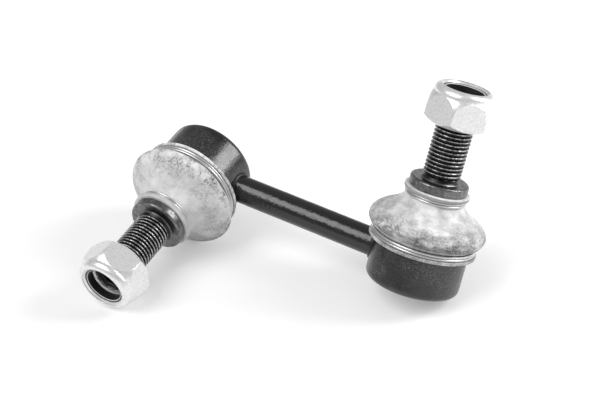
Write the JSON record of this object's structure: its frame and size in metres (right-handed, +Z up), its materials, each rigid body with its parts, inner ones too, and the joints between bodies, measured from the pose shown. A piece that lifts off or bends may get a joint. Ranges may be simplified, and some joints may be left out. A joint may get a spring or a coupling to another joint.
{
  "type": "stabilizer link",
  "caption": "Short stabilizer link: a black rod with a ball joint at each end, rubber boots, threaded studs at an angle to each other and lock nuts.",
  "frame": {"origin": "middle of the bounding box, on the floor the part lies on", "axes": "+X along the rod towards the end whose stud stands up, +Y away from the lying stud, +Z up"},
  "size_m": [0.118, 0.0857, 0.0682],
  "materials": {
    "rod_paint": "gloss",
    "housing_paint": "satin",
    "weld": "satin",
    "phosphate_steel": "satin",
    "boot_rubber": "matte",
    "wire": "gloss",
    "zinc_plate": "gloss",
    "nylon": "satin",
    "acetal": "satin"
  },
  "bodies": {
    "link": {"link_rod": "rod_paint", "left_housing": "housing_paint", "left_end_cap": "housing_paint", "left_ball_seat": "acetal", "left_weld_bead": "weld", "left_lower_boot_ring": "wire", "right_housing": "housing_paint", "right_end_cap": "housing_paint", "right_ball_seat": "acetal", "right_weld_bead": "weld", "right_lower_boot_ring": "wire"},
    "left_boot": {"left_dust_boot": "boot_rubber"},
    "left_neck": {"left_upper_boot_ring": "wire"},
    "left_stud": {"left_ball_stud": "phosphate_steel"},
    "left_insert": {"left_nut_insert": "nylon"},
    "left_nut": {"left_lock_nut": "zinc_plate"},
    "right_boot": {"right_dust_boot": "boot_rubber"},
    "right_neck": {"right_upper_boot_ring": "wire"},
    "right_stud": {"right_ball_stud": "phosphate_steel"},
    "right_insert": {"right_nut_insert": "nylon"},
    "right_nut": {"right_lock_nut": "zinc_plate"}
  },
  "joints": [
    {"name": "left_swing_across", "type": "hinge", "parent": "link", "child": "left_boot", "pos_m": [-0.04024, 0.01234, 0.02011], "axis": [0.9947, 0, -0.103], "range_deg": [-15, 15], "deforming": ["left_dust_boot"]},
    {"name": "left_swing_along", "type": "hinge", "parent": "left_boot", "child": "left_neck", "pos_m": [-0.04024, 0.01234, 0.02011], "axis": [0.1012, -0.187, 0.9771], "range_deg": [-15, 15], "deforming": ["left_dust_boot"]},
    {"name": "left_stud_spin", "type": "hinge", "parent": "left_neck", "child": "left_stud", "pos_m": [-0.04024, 0.01234, 0.02011], "axis": [-0.0193, -0.9824, -0.186], "continuous": true},
    {"name": "left_nut_travel", "type": "slide", "parent": "left_stud", "child": "left_insert", "axis": [-0.0193, -0.9824, -0.186], "range_m": [-0.01775, 0.005]},
    {"name": "left_nut_spin", "type": "hinge", "parent": "left_insert", "child": "left_nut", "pos_m": [-0.04024, 0.01234, 0.02011], "axis": [-0.0193, -0.9824, -0.186], "range_deg": [-5115, 1443]},
    {"name": "right_swing_across", "type": "hinge", "parent": "link", "child": "right_boot", "pos_m": [0.03957, 0.01499, 0.0141], "axis": [0.9947, 0, -0.103], "range_deg": [-15, 15], "deforming": ["right_dust_boot"]},
    {"name": "right_swing_along", "type": "hinge", "parent": "right_boot", "child": "right_neck", "pos_m": [0.03957, 0.01499, 0.0141], "axis": [-0.0356, 0.9384, -0.3438], "range_deg": [-15, 15], "deforming": ["right_dust_boot"]},
    {"name": "right_stud_spin", "type": "hinge", "parent": "right_neck", "child": "right_stud", "pos_m": [0.03957, 0.01499, 0.0141], "axis": [0.0967, 0.3457, 0.9334], "continuous": true},
    {"name": "right_nut_travel", "type": "slide", "parent": "right_stud", "child": "right_insert", "axis": [0.0967, 0.3457, 0.9334], "range_m": [-0.01775, 0.005]},
    {"name": "right_nut_spin", "type": "hinge", "parent": "right_insert", "child": "right_nut", "pos_m": [0.03957, 0.01499, 0.0141], "axis": [0.0967, 0.3457, 0.9334], "range_deg": [-5115, 1443]}
  ],
  "couplings": [
    {"joint": "left_nut_spin", "follows": "left_nut_travel", "rad_per_m": 5026.5},
    {"joint": "right_nut_spin", "follows": "right_nut_travel", "rad_per_m": 5026.5}
  ]
}
